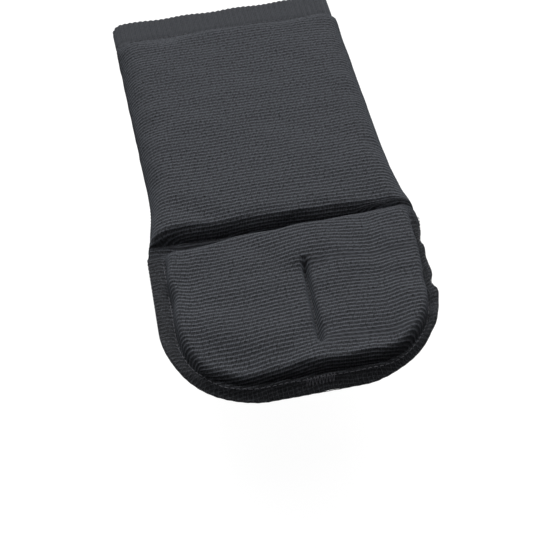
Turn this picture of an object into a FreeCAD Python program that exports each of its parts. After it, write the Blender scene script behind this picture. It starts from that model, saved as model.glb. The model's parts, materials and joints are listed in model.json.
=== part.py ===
import FreeCAD, Part

# Slip-on elbow pad for martial arts. A padded sleeve holds the forearm and a padded cap covers the
# point of the elbow. The cap folds along the sewn channel between the two foam pads.
#
# Frame: +Z up, the pad lies on its back on z = 0. Y runs along the arm: the cap's tip points to -Y and
# the cuff to +Y. X runs across. The origin is the middle of the box's underside. Millimetres.
#
# Layers from the floor up: stretch back of the sleeve, tunnel for the arm, lining, foam, knit cover.

import math
import os

import Sketcher
from FreeCAD import Placement, Rotation, Vector

DIMENSIONS = {
    "sleeve_width": "116",  # flat width of the sleeve over its knit
    "sleeve_length": "152",  # from the channel to the cuff's edge
    "cap_width": "128",  # over the sewn rim
    "cap_length": "90",  # from the channel to the rim's tip
    "cap_corner": "44",  # plan radius of the rim at the tip
    "root_corner": "5",  # plan radius of the corners at the channel
    "dome_width": "112",  # over the cap's padding, where its corners begin
    "dome_corner": "40",
    "dome_flare": "5",  # degrees that the padding's sides open towards the channel
    "rim_tip": "6",  # flat rim outside the padding at the tip
    "foam_height": "10",
    "cover_gauge": "1.4",  # outer knit
    "lining_gauge": "1",  # knit towards the arm
    "back_gauge": "1.8",  # stretch knit behind the arm
    "tunnel_height": "6.5",  # slack space for the arm when the sleeve lies flat
    "back_corner": "7",  # outer roll of the sleeve's back at its sides
    "pad_edge": "5",  # round of the foam pads' ends under the cover
    "channel_half": "2.2",  # from the channel's middle to each pad's end wall
    "seam_gap": "0.3",  # clearance between pieces that move apart
    "ease": "0.15",  # clearance between the foam and its cover
    "back_setback": "6",  # from the channel to the back's hem
    "hem_length": "10",
    "hem_gauge": "1",  # the hem's turned-in layer
    "cuff_length": "20",
    "cuff_gauge": "2.8",
    "elastic_gauge": "0.8",
    "elastic_width": "15",
    "elastic_inset": "9",  # from the sleeve's side to the elastic's end
    "web_inset": "2",  # from the sleeve's side to the end of the sewn web in the channel
    "side_seam_width": "5",
    "side_seam_height": "1.8",
    "strap_width": "34",
    "strap_gauge": "1.6",
    "strap_half": "50",  # half of the strap's span under the cap
    "strap_corner": "4",
    "strap_offset": "42",  # from the channel to the strap's middle
    "tab_length": "10.5",
    "quilt_start": "27",  # from the channel to the quilted line
    "quilt_length": "42",
    "quilt_width": "3",
    "quilt_depth": "8",
    "thread_radius": "0.4",
    "thread_bite": "0.2",  # how far a thread sinks into the knit
    "stitch_length": "2.8",
    "stitch_pitch": "4",
    "twin_spacing": "2.6",  # between the cuff's two stitch rows
    "overlock_gauge": "0.6",
    "overlock_reach": "2.2",  # of the thread over the rim
    "overlock_pitch": "3.6",
    "row_offset": "1",  # from the padding's foot to the row of stitches round it
    "bartack_width": "12",
    "bartack_height": "2.4",
    "bartack_runs": "14",
}

doc = FreeCAD.newDocument("ElbowPad")
sheet = doc.addObject("Spreadsheet::Sheet", "dims")
for row, (alias, number) in enumerate(DIMENSIONS.items(), start=1):
    sheet.set(f"A{row}", alias)
    sheet.set(f"B{row}", number)
    sheet.setAlias(f"B{row}", alias)
doc.recompute()

# Places that several pieces share, as expressions on the sheet.
HALF = "dims.sleeve_width / 2"
CHANNEL_Y = "(dims.cap_length + dims.overlock_gauge - dims.sleeve_length) / 2"
CUFF_END_Y = f"{CHANNEL_Y} + dims.sleeve_length"
CUFF_START_Y = f"{CUFF_END_Y} - dims.cuff_length"
PAD_START_Y = f"{CHANNEL_Y} + dims.channel_half"
BACK_START_Y = f"{CHANNEL_Y} + dims.back_setback"
LINING_Z = "dims.back_gauge + dims.tunnel_height"
PAD_Z = f"{LINING_Z} + dims.lining_gauge"
TOP_Z = f"{PAD_Z} + dims.foam_height + dims.cover_gauge"
RIM_Z = f"{PAD_Z} + dims.cover_gauge"
WALL_TOP_Z = f"{LINING_Z} - dims.seam_gap"
WEB_RADIUS = "(dims.cover_gauge + dims.lining_gauge) / 2"
HINGE_Z = f"{LINING_Z} + {WEB_RADIUS}"
TIP_Y = f"{CHANNEL_Y} - dims.cap_length"
CAP_START_Y = f"{CHANNEL_Y} - {WEB_RADIUS} - dims.seam_gap"
STRAP_Y = f"{CHANNEL_Y} - dims.strap_offset"
STRAP_TOP_Z = f"{WALL_TOP_Z} - dims.strap_gauge"


def value(expression):
    """The number that an expression on the sheet stands for."""
    return float(sheet.evalExpression(expression))


def new_body(name):
    """An empty body; its label names the piece's file."""
    body = doc.addObject("PartDesign::Body", name)
    body.Label = name
    return body


def new_sketch(body, role, height="0"):
    """An empty sketch on one of the body's own origin planes, moved along the plane's normal."""
    sketch = body.newObject("Sketcher::SketchObject", f"{body.Name}_sketch")
    plane = next(feature for feature in body.Origin.OriginFeatures if feature.Role == role)
    sketch.AttachmentSupport = (plane, "")
    sketch.MapMode = "FlatFace"
    sketch.setExpression("AttachmentOffset.Base.z", height)
    return sketch


def bind(sketch, constraint, expression):
    """Adds a dimension to a sketch and ties it to the sheet."""
    index = sketch.addConstraint(constraint)
    sketch.setExpression(f"Constraints[{index}]", expression)


def draw_outline(sketch, corners, arcs=None):
    """Draws a closed outline. corners are (x, y) expressions. arcs maps the number of a side to
    (radius, turn), where turn is 1 for an anticlockwise arc and -1 for a clockwise one."""
    arcs = arcs or {}
    points = [Vector(value(x), value(y), 0) for x, y in corners]
    first = sketch.GeometryCount
    ends = []
    for side, start in enumerate(points):
        end = points[(side + 1) % len(points)]
        if side not in arcs:
            sketch.addGeometry(Part.LineSegment(start, end), False)
            ends.append((1, 2))
            continue
        radius, turn = arcs[side]
        half_chord = (end - start) / 2
        rise = math.sqrt(max(value(radius) ** 2 - half_chord.Length**2, 0))
        left = Vector(-half_chord.y, half_chord.x, 0).normalize() * turn
        middle = start + half_chord - left * (value(radius) - rise)
        sketch.addGeometry(Part.Arc(start, middle, end), False)
        ends.append((1, 2) if turn > 0 else (2, 1))
        bind(sketch, Sketcher.Constraint("Radius", first + side, value(radius)), radius)
    for side, (x, y) in enumerate(corners):
        following = (side + 1) % len(corners)
        joint = (first + side, ends[side][1], first + following, ends[following][0])
        sketch.addConstraint(Sketcher.Constraint("Coincident", *joint))
        at = (-1, 1, first + side, ends[side][0])
        bind(sketch, Sketcher.Constraint("DistanceX", *at, points[side].x), x)
        bind(sketch, Sketcher.Constraint("DistanceY", *at, points[side].y), y)


def draw_circle(sketch, x, y, radius):
    """Draws a circle at an (x, y) given as expressions."""
    centre = Vector(value(x), value(y), 0)
    index = sketch.addGeometry(Part.Circle(centre, Vector(0, 0, 1), value(radius)), False)
    bind(sketch, Sketcher.Constraint("Radius", index, value(radius)), radius)
    bind(sketch, Sketcher.Constraint("DistanceX", -1, 1, index, 3, centre.x), x)
    bind(sketch, Sketcher.Constraint("DistanceY", -1, 1, index, 3, centre.y), y)


def extrude(body, sketch, length, kind="Pad", backwards=False):
    """Pads or pockets a sketch by a length from the sheet."""
    feature = body.newObject(f"PartDesign::{kind}", f"{body.Name}_{kind.lower()}")
    feature.Profile = sketch
    feature.setExpression("Length", length)
    feature.Reversed = backwards
    doc.recompute()
    return feature


def round_edges(body, base, radius, chosen):
    """Fillets the edges of the base feature that chosen() picks."""
    names = [f"Edge{i}" for i, edge in enumerate(base.Shape.Edges, start=1) if chosen(edge)]
    feature = body.newObject("PartDesign::Fillet", f"{body.Name}_fillet")
    feature.Base = (base, names)
    feature.setExpression("Radius", radius)
    doc.recompute()
    return feature


def shell(body, base, wall, opened):
    """Hollows the base feature inwards, open at the faces that opened() picks."""
    names = [f"Face{i}" for i, face in enumerate(base.Shape.Faces, start=1) if opened(face)]
    feature = body.newObject("PartDesign::Thickness", f"{body.Name}_shell")
    feature.Base = (base, names)
    feature.setExpression("Value", wall)
    feature.Join = "Intersection"
    feature.Reversed = True
    doc.recompute()
    return feature


def spans(edge, axis, number):
    """Whether an edge lies wholly at one coordinate along an axis."""
    box = edge.BoundBox
    low, high = getattr(box, f"{axis}Min"), getattr(box, f"{axis}Max")
    return abs(low - number) < 1e-4 and abs(high - number) < 1e-4


def cross_section(body, y):
    """A sketch across the arm at y, with X to the right and Z up."""
    return new_sketch(body, "XZ_Plane", f"-({y})")


def plan(body, z):
    """A sketch seen from above at height z."""
    return new_sketch(body, "XY_Plane", z)


def dome_section(sketch, half, bottom, spring, top):
    """A flat-topped section whose sides roll down from top to spring, then drop to bottom."""
    radius = f"({top}) - ({spring})"
    corners = [
        (half, bottom),
        (half, spring),
        (f"{half} - ({radius})", top),
        (f"-({half}) + ({radius})", top),
        (f"-({half})", spring),
        (f"-({half})", bottom),
    ]
    draw_outline(sketch, corners, {1: (radius, 1), 3: (radius, 1)})


def trough_section(sketch, half, gauge, corner, top, floor="0"):
    """A U-shaped section: a flat floor whose sides roll up to top, of one gauge throughout."""
    rolled = f"({floor}) + {corner}"
    corners = [
        (f"-({half})", top),
        (f"-({half})", rolled),
        (f"-({half}) + {corner}", floor),
        (f"{half} - {corner}", floor),
        (half, rolled),
        (half, top),
        (f"{half} - {gauge}", top),
        (f"{half} - {gauge}", rolled),
        (f"{half} - {corner}", f"({floor}) + {gauge}"),
        (f"-({half}) + {corner}", f"({floor}) + {gauge}"),
        (f"-({half}) + {gauge}", rolled),
        (f"-({half}) + {gauge}", top),
    ]
    inner = f"{corner} - ({gauge})"
    draw_outline(sketch, corners, {1: (corner, 1), 3: (corner, 1), 7: (inner, -1), 9: (inner, -1)})


def rectangle(sketch, x_low, x_high, y_low, y_high):
    """Draws a rectangle between four expressions."""
    draw_outline(sketch, [(x_low, y_low), (x_high, y_low), (x_high, y_high), (x_low, y_high)])


class CapShape:
    """A plan of the cap: sides that open by flare towards the channel, and round corners at the tip.
    The sizes are expressions, and so is all that its methods return."""

    def __init__(self, width, tip_inset, corner, flare):
        self.corner = corner
        self.flare = flare
        self.centre_x = f"({width} / 2 - {corner})"
        self.centre_y = f"({TIP_Y} + {tip_inset} + {corner})"

    def stations(self, inset, root_y):
        """Radius of the tip's corner and the right-hand points of the outline, drawn in by inset:
        end of the tip's straight, start of the side, end of the side, start of the root's straight."""
        radius = f"({self.corner} - ({inset}))"
        side_x = f"({self.centre_x} + {radius} * cos({self.flare}))"
        side_y = f"({self.centre_y} - {radius} * sin({self.flare}))"
        arc_y = f"({root_y} - dims.root_corner)"
        line_x = f"({side_x} + ({arc_y} - {side_y}) * tan({self.flare}))"
        arc_x = f"({line_x} - dims.root_corner / cos({self.flare}))"
        points = [
            (self.centre_x, f"({self.centre_y} - {radius})"),
            (side_x, side_y),
            (
                f"({arc_x} + dims.root_corner * cos({self.flare}))",
                f"({arc_y} - dims.root_corner * sin({self.flare}))",
            ),
            (arc_x, f"({root_y})"),
        ]
        return radius, points


RIM = CapShape("dims.cap_width", "0", "dims.cap_corner", "0")
DOME = CapShape("dims.dome_width", "dims.rim_tip", "dims.dome_corner", "dims.dome_flare")
RIM_ROOT_Y = CAP_START_Y
DOME_ROOT_Y = f"{CHANNEL_Y} - dims.channel_half"


def cap_outline(sketch, shape, inset, root_y):
    """Draws a plan of the cap, in from its edge by inset and ending at root_y beside the channel."""
    radius, right = shape.stations(inset, root_y)
    left = [(f"-{x}", y) for x, y in reversed(right)]
    arcs = {side: (radius, 1) for side in (0, 6)}
    arcs.update({side: ("dims.root_corner", 1) for side in (2, 4)})
    draw_outline(sketch, right + left, arcs)


def quilt_slot(sketch, growth):
    """A round-ended slot on the cap's middle line, larger than the quilted line by growth all round."""
    half = f"(dims.quilt_width / 2 + ({growth}))"
    far = f"{CHANNEL_Y} - dims.quilt_start - dims.quilt_width / 2"
    near = f"{CHANNEL_Y} - dims.quilt_start - dims.quilt_length + dims.quilt_width / 2"
    corners = [
        (half, near),
        (half, far),
        ("0", f"{far} + {half}"),
        (f"-{half}", far),
        (f"-{half}", near),
        ("0", f"{near} - {half}"),
    ]
    draw_outline(sketch, corners, {side: (half, 1) for side in (1, 2, 4, 5)})


# ---------------------------------------------------------------- the forearm's padded front


def forearm_cover():
    """Outer knit: a shell over the foam whose sides roll down to the side seams."""
    body = new_body("forearm_cover")
    section = cross_section(body, PAD_START_Y)
    dome_section(section, HALF, LINING_Z, PAD_Z, TOP_Z)
    solid = extrude(body, section, f"{CUFF_START_Y} - ({PAD_START_Y})", backwards=True)
    ends = (value(PAD_START_Y), value(CUFF_START_Y))
    bottom = value(LINING_Z)
    rounded = round_edges(
        body,
        solid,
        "dims.pad_edge",
        lambda edge: any(spans(edge, "Y", end) for end in ends) and not spans(edge, "Z", bottom),
    )
    shell(body, rounded, "dims.cover_gauge", lambda face: spans(face, "Z", bottom))


def forearm_foam():
    """Closed-cell foam slab under the forearm's cover."""
    body = new_body("forearm_foam")
    clear = "(dims.cover_gauge + dims.ease)"
    start = f"{PAD_START_Y} + {clear}"
    end = f"{CUFF_START_Y} - {clear}"
    section = cross_section(body, start)
    dome_section(
        section, f"({HALF} - {clear})", f"{PAD_Z}", f"{PAD_Z} + dims.ease", f"{TOP_Z} - {clear}"
    )
    solid = extrude(body, section, f"{end} - ({start})", backwards=True)
    ends = (value(start), value(end))
    bottom = value(PAD_Z)
    round_edges(
        body,
        solid,
        f"dims.pad_edge - {clear}",
        lambda edge: any(spans(edge, "Y", at) for at in ends) and not spans(edge, "Z", bottom),
    )


def forearm_lining():
    """Knit panel between the foam and the arm."""
    body = new_body("forearm_lining")
    sketch = plan(body, LINING_Z)
    clear = "(dims.cover_gauge + dims.ease)"
    half = f"({HALF} - {clear})"
    corner = "dims.root_corner"
    near = f"{PAD_START_Y} + {clear}"
    far = f"{CUFF_START_Y} - {clear}"
    corners = [
        (f"{half} - {corner}", near),
        (half, f"{near} + {corner}"),
        (half, f"{far} - {corner}"),
        (f"{half} - {corner}", far),
        (f"-{half} + {corner}", far),
        (f"-{half}", f"{far} - {corner}"),
        (f"-{half}", f"{near} + {corner}"),
        (f"-{half} + {corner}", near),
    ]
    draw_outline(sketch, corners, {side: (corner, 1) for side in (0, 2, 4, 6)})
    extrude(body, sketch, "dims.lining_gauge")


def side_seam(name, side):
    """Overlocked seam allowance that joins cover, lining and back along one side of the tunnel."""
    body = new_body(name)
    outer = f"({HALF} - dims.cuff_gauge - 2 * dims.seam_gap)"
    inner = f"({outer} - dims.side_seam_width)"
    low = f"{LINING_Z} - dims.side_seam_height"
    sketch = cross_section(body, BACK_START_Y)
    if side > 0:
        rectangle(sketch, inner, outer, low, LINING_Z)
    else:
        rectangle(sketch, f"-{outer}", f"-{inner}", low, LINING_Z)
    solid = extrude(body, sketch, f"{CUFF_START_Y} - ({BACK_START_Y})", backwards=True)
    bottom = value(low)
    round_edges(
        body,
        solid,
        "dims.side_seam_height / 3",
        lambda edge: spans(edge, "Z", bottom) and edge.BoundBox.YLength > edge.BoundBox.XLength,
    )


def channel_seam():
    """Cover and lining sewn together in the channel. The cap folds about its round edge."""
    body = new_body("channel_seam")
    half = f"({HALF} - dims.web_inset)"
    sketch = new_sketch(body, "YZ_Plane", f"-{half}")
    corners = [
        (CHANNEL_Y, LINING_Z),
        (PAD_START_Y, LINING_Z),
        (PAD_START_Y, RIM_Z),
        (CHANNEL_Y, RIM_Z),
        (f"{CHANNEL_Y} - {WEB_RADIUS}", HINGE_Z),
    ]
    draw_outline(sketch, corners, {3: (WEB_RADIUS, 1), 4: (WEB_RADIUS, 1)})
    extrude(body, sketch, f"2 * {half}")


# ---------------------------------------------------------------- the sleeve's stretch back


def sleeve_back():
    """Stretch knit that closes the tunnel, with a turned-in hem at the elbow end."""
    body = new_body("sleeve_back")
    section = cross_section(body, BACK_START_Y)
    trough_section(section, HALF, "dims.back_gauge", "dims.back_corner", WALL_TOP_Z)
    extrude(body, section, f"{CUFF_START_Y} - ({BACK_START_Y})", backwards=True)
    hem = cross_section(body, BACK_START_Y)
    trough_section(
        hem,
        f"({HALF} - dims.back_gauge)",
        "dims.hem_gauge",
        "(dims.back_corner - dims.back_gauge)",
        WALL_TOP_Z,
        "dims.back_gauge",
    )
    extrude(body, hem, "dims.hem_length", backwards=True)


def elastic_slot(body, bottom):
    """Cuts the tunnel for the elastic into a cuff that is already solid."""
    sketch = cross_section(body, CUFF_START_Y)
    end = f"({HALF} - dims.elastic_inset)"
    layer = "(dims.cuff_gauge - dims.elastic_gauge) / 2"
    low = f"{bottom} + {layer}"
    rectangle(sketch, f"-{end}", end, low, f"{low} + dims.elastic_gauge")
    extrude(body, sketch, "dims.elastic_width + 2 * dims.ease", kind="Pocket")


def cuff_front():
    """Front half of the rib-knit cuff, a folded band with elastic inside."""
    body = new_body("cuff_front")
    section = cross_section(body, CUFF_START_Y)
    top = f"{LINING_Z} + dims.cuff_gauge"
    dome_section(section, HALF, LINING_Z, f"{LINING_Z} + dims.ease", top)
    extrude(body, section, "dims.cuff_length", backwards=True)
    elastic_slot(body, LINING_Z)


def cuff_back():
    """Back half of the cuff; it goes down with the sleeve's back."""
    body = new_body("cuff_back")
    section = cross_section(body, CUFF_START_Y)
    trough_section(section, HALF, "dims.cuff_gauge", "dims.back_corner", WALL_TOP_Z)
    extrude(body, section, "dims.cuff_length", backwards=True)
    elastic_slot(body, "0")


def cuff_elastic(name, bottom):
    """Flat woven elastic inside one half of the cuff."""
    body = new_body(name)
    layer = "(dims.cuff_gauge - dims.elastic_gauge) / 2"
    end = f"({HALF} - dims.elastic_inset - dims.ease)"
    low = f"{bottom} + {layer} + dims.ease / 2"
    sketch = cross_section(body, f"{CUFF_START_Y} + dims.ease")
    rectangle(sketch, f"-{end}", end, low, f"{low} + dims.elastic_gauge - dims.ease")
    extrude(body, sketch, "dims.elastic_width", backwards=True)


# ---------------------------------------------------------------- the elbow cap


def cap_cover():
    """Outer knit of the cap: a dome over the foam with a flat rim, drawn in along the quilted line."""
    body = new_body("cap_cover")
    dome = plan(body, PAD_Z)
    cap_outline(dome, DOME, "0", DOME_ROOT_Y)
    solid = extrude(body, dome, f"{TOP_Z} - ({PAD_Z})")
    top = value(TOP_Z)
    round_edges(body, solid, "dims.pad_edge - dims.ease", lambda edge: spans(edge, "Z", top))
    slot = plan(body, TOP_Z)
    quilt_slot(slot, "0")
    pressed = extrude(body, slot, "dims.quilt_depth", kind="Pocket")
    bottom = value(PAD_Z)
    shell(body, pressed, "dims.cover_gauge", lambda face: spans(face, "Z", bottom))
    rim = plan(body, PAD_Z)
    cap_outline(rim, RIM, "0", RIM_ROOT_Y)
    overlap = "dims.cover_gauge / 2"
    cap_outline(rim, DOME, overlap, f"{DOME_ROOT_Y} - {overlap}")
    extrude(body, rim, "dims.cover_gauge")


def cap_foam():
    """Foam of the cap, pressed to a thin web along the quilted line."""
    body = new_body("cap_foam")
    clear = "(dims.cover_gauge + dims.ease)"
    base = plan(body, PAD_Z)
    cap_outline(base, DOME, clear, f"{DOME_ROOT_Y} - {clear}")
    solid = extrude(body, base, "dims.foam_height - dims.ease")
    top = value(f"{PAD_Z} + dims.foam_height - dims.ease")
    round_edges(body, solid, f"dims.pad_edge - {clear}", lambda edge: spans(edge, "Z", top))
    slot = plan(body, f"{PAD_Z} + dims.foam_height - dims.ease")
    quilt_slot(slot, clear)
    extrude(body, slot, "dims.quilt_depth", kind="Pocket")


def cap_lining():
    """Knit panel behind the cap's foam, as large as the rim."""
    body = new_body("cap_lining")
    sketch = plan(body, LINING_Z)
    cap_outline(sketch, RIM, "0", RIM_ROOT_Y)
    extrude(body, sketch, "dims.lining_gauge")


def cap_strap():
    """Elastic strap that holds the cap to the upper arm, hanging slack under the cap."""
    body = new_body("cap_strap")
    section = cross_section(body, f"{STRAP_Y} - dims.strap_width / 2")
    trough_section(section, "dims.strap_half", "dims.strap_gauge", "dims.strap_corner", STRAP_TOP_Z)
    extrude(body, section, "dims.strap_width", backwards=True)


def strap_tab(name, side):
    """End of the strap, sewn flat under the rim."""
    body = new_body(name)
    section = cross_section(body, f"{STRAP_Y} - dims.strap_width / 2")
    inner = "(dims.strap_half - dims.strap_gauge)"
    outer = f"({inner} + dims.tab_length)"
    low = f"{LINING_Z} - dims.strap_gauge"
    if side > 0:
        rectangle(section, inner, outer, low, LINING_Z)
    else:
        rectangle(section, f"-{outer}", f"-{inner}", low, LINING_Z)
    extrude(body, section, "dims.strap_width", backwards=True)


# ---------------------------------------------------------------- threads


def straight_rows(name, half_length, rows):
    """Rows of stitches across the pad: one stitch of each row, repeated along X by a pattern.
    rows are (y, z) expressions of the threads' middles."""
    body = new_body(name)
    sketch = new_sketch(body, "YZ_Plane", f"-({half_length})")
    for y, z in rows:
        draw_circle(sketch, y, z, "dims.thread_radius")
    stitch = extrude(body, sketch, "dims.stitch_length")
    span = f"2 * ({half_length}) - dims.stitch_length"
    pattern = body.newObject("PartDesign::LinearPattern", f"{name}_pattern")
    pattern.Originals = [stitch]
    across = next(part for part in body.Origin.OriginFeatures if part.Role == "X_Axis")
    pattern.Direction = (across, [""])
    pattern.setExpression("Length", span)
    pattern.setExpression("Occurrences", f"round(({span}) / dims.stitch_pitch) + 1")
    body.Tip = pattern
    doc.recompute()


def thread_feature(name, solids):
    """A node made of many separate thread solids."""
    feature = doc.addObject("Part::Feature", name)
    feature.Label = name
    feature.Shape = Part.makeCompound(solids)


def run_of_thread(start, end):
    """A straight length of thread between two points."""
    return Part.makeCylinder(value("dims.thread_radius"), (end - start).Length, start, end - start)


def cap_path(shape, inset, root_y):
    """A plan of the cap as edges, from one end of the channel round the tip to the other."""
    radius, stations = shape.stations(inset, root_y)
    front, side, end = [Vector(value(x), value(y), 0) for x, y in stations[:3]]
    centre = Vector(value(shape.centre_x), value(shape.centre_y), 0)
    middle = centre + ((front + side) / 2 - centre).normalize() * value(radius)
    right = [front, middle, side, end]
    mirrored = [Vector(-point.x, point.y, 0) for point in right]
    return [
        Part.makeLine(mirrored[3], mirrored[2]),
        Part.Arc(mirrored[2], mirrored[1], mirrored[0]).toShape(),
        Part.makeLine(mirrored[0], right[0]),
        Part.Arc(right[0], right[1], right[2]).toShape(),
        Part.makeLine(right[2], right[3]),
    ]


def along_cap(shape, inset, root_y, pitch):
    """Evenly spaced (point, direction) pairs along a plan of the cap."""
    edges = cap_path(shape, inset, root_y)
    total = sum(edge.Length for edge in edges)
    count = int(total / pitch)
    places = []
    for index in range(count):
        distance = (index + 0.5) * total / count
        for edge in edges:
            if distance <= edge.Length:
                break
            distance -= edge.Length
        parameter = edge.getParameterByLength(distance)
        places.append((edge.valueAt(parameter), edge.tangentAt(parameter).normalize()))
    return places


def facing(point, direction):
    """A placement whose X runs along the rim and whose Y points into the cap."""
    turn = math.degrees(math.atan2(direction.y, direction.x))
    return Placement(point, Rotation(Vector(0, 0, 1), turn))


def rim_overlock():
    """Overlock thread: one loop after another over the rim's raw edge."""
    gauge = value("dims.overlock_gauge")
    reach = value("dims.overlock_reach")
    low = value(LINING_Z)
    high = value(RIM_Z)
    clear = value("dims.ease") / 5
    outer = [(-gauge, low - gauge), (reach, low - gauge), (reach, low), (-clear, low)]
    inner = [(-clear, high), (reach, high), (reach, high + gauge), (-gauge, high + gauge)]
    ring = [Vector(-gauge / 2, y, z) for y, z in outer + inner]
    profile = Part.Face(Part.makePolygon(ring + [ring[0]]))
    loop = profile.extrude(Vector(gauge, 0, 0))
    loops = []
    for point, direction in along_cap(RIM, "0", RIM_ROOT_Y, value("dims.overlock_pitch")):
        copy = loop.copy()
        copy.Placement = facing(point, direction)
        loops.append(copy)
    thread_feature("rim_overlock", loops)


def on_knit(surface):
    """Height of a thread's middle when it bites into a surface from above."""
    return f"{surface} + dims.thread_radius - dims.thread_bite"


def rim_stitching():
    """Lockstitch row that holds cover and lining together round the foam, open at the bartack."""
    half_stitch = value("dims.stitch_length") / 2
    height = Vector(0, 0, value(on_knit(RIM_Z)))
    pitch = value("dims.stitch_pitch")
    stitches = []
    for point, direction in along_cap(DOME, "-dims.row_offset", DOME_ROOT_Y, pitch):
        at_tip = point.y < value(STRAP_Y)
        if at_tip and abs(point.x) < value("dims.bartack_width") / 2 + 2 * half_stitch:
            continue
        middle = point + height
        stitches.append(run_of_thread(middle - direction * half_stitch, middle + direction * half_stitch))
    thread_feature("rim_stitching", stitches)


def tip_bartack():
    """Dense zigzag that locks the start and end of the rim's row at the middle of the tip."""
    runs = int(value("dims.bartack_runs"))
    width = value("dims.bartack_width")
    half_height = value("dims.bartack_height") / 2
    middle_y = value(f"{TIP_Y} + dims.rim_tip / 2 + dims.row_offset")
    height = value(on_knit(RIM_Z))
    step = width / runs
    slope = step / 4
    threads = []
    for index in range(runs):
        x = -width / 2 + (index + 0.5) * step
        start = Vector(x - slope, middle_y - half_height, height)
        end = Vector(x + slope, middle_y + half_height, height)
        threads.append(run_of_thread(start, end))
    thread_feature("tip_bartack", threads)


def centre_quilting():
    """Stitches along the bottom of the cap's quilted line."""
    length = value("dims.stitch_length")
    pitch = value("dims.stitch_pitch")
    height = value(on_knit(f"{TOP_Z} - dims.quilt_depth"))
    start = value(f"{CHANNEL_Y} - dims.quilt_start") - (pitch - length)
    count = int(value("dims.quilt_length") / pitch)
    stitches = []
    for index in range(count):
        y = start - index * pitch
        stitches.append(run_of_thread(Vector(0, y, height), Vector(0, y - length, height)))
    thread_feature("centre_quilting", stitches)


def strap_stitching():
    """Rectangle of stitches that holds each strap tab under the rim."""
    radius = value("dims.thread_radius")
    margin = value("dims.strap_gauge") + 4 * radius
    inner = value("dims.strap_half + dims.seam_gap") + radius
    outer = value("dims.strap_half - dims.strap_gauge + dims.tab_length") - margin
    near = value(f"{STRAP_Y} + dims.strap_width / 2") - margin
    far = value(f"{STRAP_Y} - dims.strap_width / 2") + margin
    height = value(f"{LINING_Z} - dims.strap_gauge - dims.thread_radius + dims.thread_bite")
    length = value("dims.stitch_length")
    pitch = value("dims.stitch_pitch") - radius
    threads = []
    for side in (-1, 1):
        plan_corners = ((inner, near), (outer, near), (outer, far), (inner, far))
        box = [Vector(side * x, y, height) for x, y in plan_corners]
        for start, end in zip(box, box[1:] + box[:1]):
            run = end - start
            count = max(int(run.Length / pitch), 1)
            for index in range(count):
                middle = start + run * ((index + 0.5) / count)
                along = run / run.Length * length / 2
                threads.append(run_of_thread(middle - along, middle + along))
    thread_feature("strap_stitching", threads)


def all_threads():
    """Every row of stitches in the pad."""
    edge = f"({HALF} - dims.back_corner)"
    channel_row = (f"{CHANNEL_Y} + {WEB_RADIUS} / 2", on_knit(RIM_Z))
    straight_rows("channel_stitching", edge, [channel_row])
    first = f"{CUFF_START_Y} + dims.twin_spacing"
    second = f"{first} + dims.twin_spacing"
    cuff_top = on_knit(f"{LINING_Z} + dims.cuff_gauge")
    straight_rows("cuff_stitching_front", edge, [(first, cuff_top), (second, cuff_top)])
    cuff_inside = on_knit("dims.cuff_gauge")
    straight_rows("cuff_stitching_back", edge, [(first, cuff_inside), (second, cuff_inside)])
    hem_row = (f"{BACK_START_Y} + dims.hem_length - dims.stitch_length", on_knit("dims.cuff_gauge"))
    straight_rows("hem_stitching", edge, [hem_row])
    rim_overlock()
    rim_stitching()
    tip_bartack()
    centre_quilting()
    strap_stitching()


def build():
    """Makes every piece of the pad."""
    forearm_cover()
    forearm_foam()
    forearm_lining()
    side_seam("side_seam_left", -1)
    side_seam("side_seam_right", 1)
    channel_seam()
    sleeve_back()
    cuff_front()
    cuff_back()
    cuff_elastic("cuff_elastic_front", LINING_Z)
    cuff_elastic("cuff_elastic_back", "0")
    cap_cover()
    cap_foam()
    cap_lining()
    cap_strap()
    strap_tab("strap_tab_left", -1)
    strap_tab("strap_tab_right", 1)
    all_threads()


def save():
    """Checks every object and writes each piece to its own STEP file."""
    doc.recompute()
    for thing in doc.Objects:
        if {"Invalid", "Error"} & set(thing.State):
            raise RuntimeError(f"{thing.Name} failed: {thing.State}")
    pieces = [thing for thing in doc.Objects if thing.TypeId in ("PartDesign::Body", "Part::Feature")]
    for piece in pieces:
        if piece.Shape.isNull() or not piece.Shape.isValid():
            raise RuntimeError(f"{piece.Label} has no valid shape")
    os.makedirs("parts", exist_ok=True)
    for piece in pieces:
        piece.Shape.exportStep(os.path.join("parts", f"{piece.Label}.step"))
        box = piece.Shape.BoundBox
        print(
            f"{piece.Label}: {len(piece.Shape.Solids)} solids, {piece.Shape.Volume:.0f} mm3,",
            f"x {box.XMin:.1f}..{box.XMax:.1f} y {box.YMin:.1f}..{box.YMax:.1f}",
            f"z {box.ZMin:.1f}..{box.ZMax:.1f}",
        )


build()
save()
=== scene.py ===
"""Looks of the elbow pad: knit cover, lining, stretch back, cuff, strap and thread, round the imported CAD.

Shapes are worked out in millimetres. "along" is the distance from the channel's hinge towards the cuff, and
"past" the distance towards the cap's tip. add_piece() turns points into metres in the CAD frame.
"""
import json
import math

import bpy
import numpy as np
from mathutils import Matrix, Vector
from mathutils.bvhtree import BVHTree


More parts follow.
